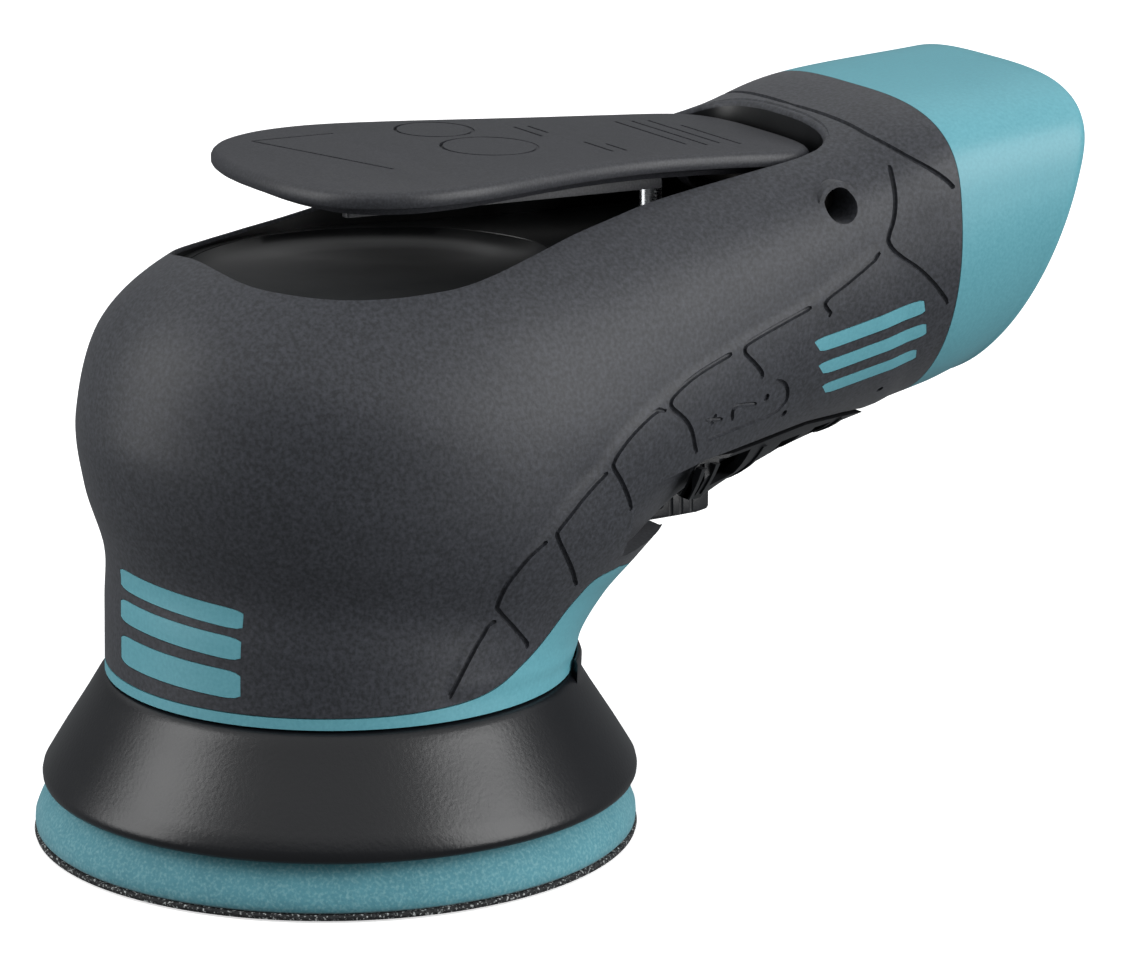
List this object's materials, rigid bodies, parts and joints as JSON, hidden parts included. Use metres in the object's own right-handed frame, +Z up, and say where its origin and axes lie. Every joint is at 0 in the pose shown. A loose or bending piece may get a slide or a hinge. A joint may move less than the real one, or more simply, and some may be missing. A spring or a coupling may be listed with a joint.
{
  "type": "pneumatic palm orbital sander",
  "caption": "Compact air-powered random orbital sander with a small round pad, cone guard, offset handle and a broad throttle lever on top.",
  "frame": {"origin": "on the motor's axis, in the plane of the pad's working face", "axes": "+Z up along the motor's axis, +Y along the handle from the head to the air inlet, +X to the left of a user who looks along the handle towards the head"},
  "size_m": [0.0765, 0.1373, 0.089],
  "materials": {
    "teal_plastic": "satin moulded, teal",
    "black_grip": "fine-grained soft touch, black",
    "dark_plastic": "fine-grained moulded, dark grey",
    "guard_rubber": "semi-gloss, fine grain, black",
    "seal_rubber": "matte, black",
    "teal_foam": "closed-cell foam skin, teal",
    "hook_fabric": "hook-and-loop face, black",
    "felt": "pressed felt, grey",
    "composite": "fibre-filled resin, brown",
    "steel": "ground",
    "dark_steel": "black oxide",
    "aluminium": "turned",
    "brass": "turned"
  },
  "bodies": {
    "body": {"housing": "teal_plastic", "grip_overmold": "black_grip", "exhaust_cover": "dark_plastic", "cover_screw": "steel", "muffler_felt": "felt", "shroud": "guard_rubber", "lever_pin": "steel", "plunger_bushing": "brass", "plunger_seal": "seal_rubber", "valve_seat": "seal_rubber", "valve_spring": "steel", "inlet_screen": "dark_plastic", "inlet_bushing": "steel", "lock_ring": "aluminium", "lock_ring_seal": "seal_rubber", "end_plate_lower": "aluminium", "end_plate_upper": "aluminium", "motor_cylinder": "steel", "cylinder_dowel": "steel", "lower_bearing_outer_race": "steel", "upper_bearing_outer_race": "steel"},
    "lever": {"throttle_lever": "dark_plastic"},
    "plunger": {"plunger": "steel"},
    "tip_valve": {"tip_valve": "brass"},
    "regulator": {"speed_regulator": "dark_plastic", "regulator_seal_lower": "seal_rubber", "regulator_seal_upper": "seal_rubber"},
    "motor_shaft": {"shaft_balancer": "steel", "rotor": "steel", "rotor_key": "dark_steel", "vane_1": "composite", "vane_2": "composite", "vane_3": "composite", "vane_4": "composite", "vane_5": "composite", "shaft_circlip": "dark_steel", "lower_bearing_inner_race": "steel", "upper_bearing_inner_race": "steel", "spindle_bearing_lower_outer_race": "steel", "spindle_bearing_upper_outer_race": "steel"},
    "lower_cage": {"lower_bearing_cage": "steel"},
    "upper_cage": {"upper_bearing_cage": "steel"},
    "pad": {"spindle": "steel", "spindle_bearing_lower_inner_race": "steel", "spindle_bearing_upper_inner_race": "steel", "spindle_shield": "dark_steel", "pad_stud": "steel", "pad_backing_plate": "composite", "pad_foam": "teal_foam", "pad_face": "hook_fabric"}
  },
  "joints": [
    {"name": "lever_pivot", "type": "hinge", "parent": "body", "child": "lever", "pos_m": [0, 0.0595, 0.0773], "axis": [1, 0, 0], "range_deg": [0, 7.5], "stiffness_Nm_per_rad": 0.5, "springref_deg": -5.73},
    {"name": "plunger_slide", "type": "slide", "parent": "body", "child": "plunger", "axis": [0, 0, -1], "range_m": [0, 0.0018]},
    {"name": "tip_valve_tilt", "type": "hinge", "parent": "body", "child": "tip_valve", "pos_m": [0, 0.056, 0.0605], "axis": [1, 0, 0], "range_deg": [0, 4.6]},
    {"name": "regulator_turn", "type": "hinge", "parent": "body", "child": "regulator", "pos_m": [0, 0.0385, 0.0365], "axis": [0, 0, 1], "range_deg": [-30, 30]},
    {"name": "motor_spin", "type": "hinge", "parent": "body", "child": "motor_shaft", "pos_m": [0, 0, 0.052], "axis": [0, 0, 1], "continuous": true},
    {"name": "lower_cage_spin", "type": "hinge", "parent": "body", "child": "lower_cage", "pos_m": [0, 0, 0.0418], "axis": [0, 0, 1], "continuous": true},
    {"name": "upper_cage_spin", "type": "hinge", "parent": "body", "child": "upper_cage", "pos_m": [0, 0, 0.0614], "axis": [0, 0, 1], "continuous": true},
    {"name": "pad_spin", "type": "hinge", "parent": "motor_shaft", "child": "pad", "pos_m": [-0.0012, 0, 0.026], "axis": [0, 0, 1], "continuous": true}
  ],
  "couplings": [
    {"joint": "plunger_slide", "follows": "lever_pivot", "m_per_rad": 0.0137},
    {"joint": "tip_valve_tilt", "follows": "lever_pivot", "ratio": 0.6},
    {"joint": "lower_cage_spin", "follows": "motor_spin", "ratio": 0.4},
    {"joint": "upper_cage_spin", "follows": "motor_spin", "ratio": 0.4}
  ]
}
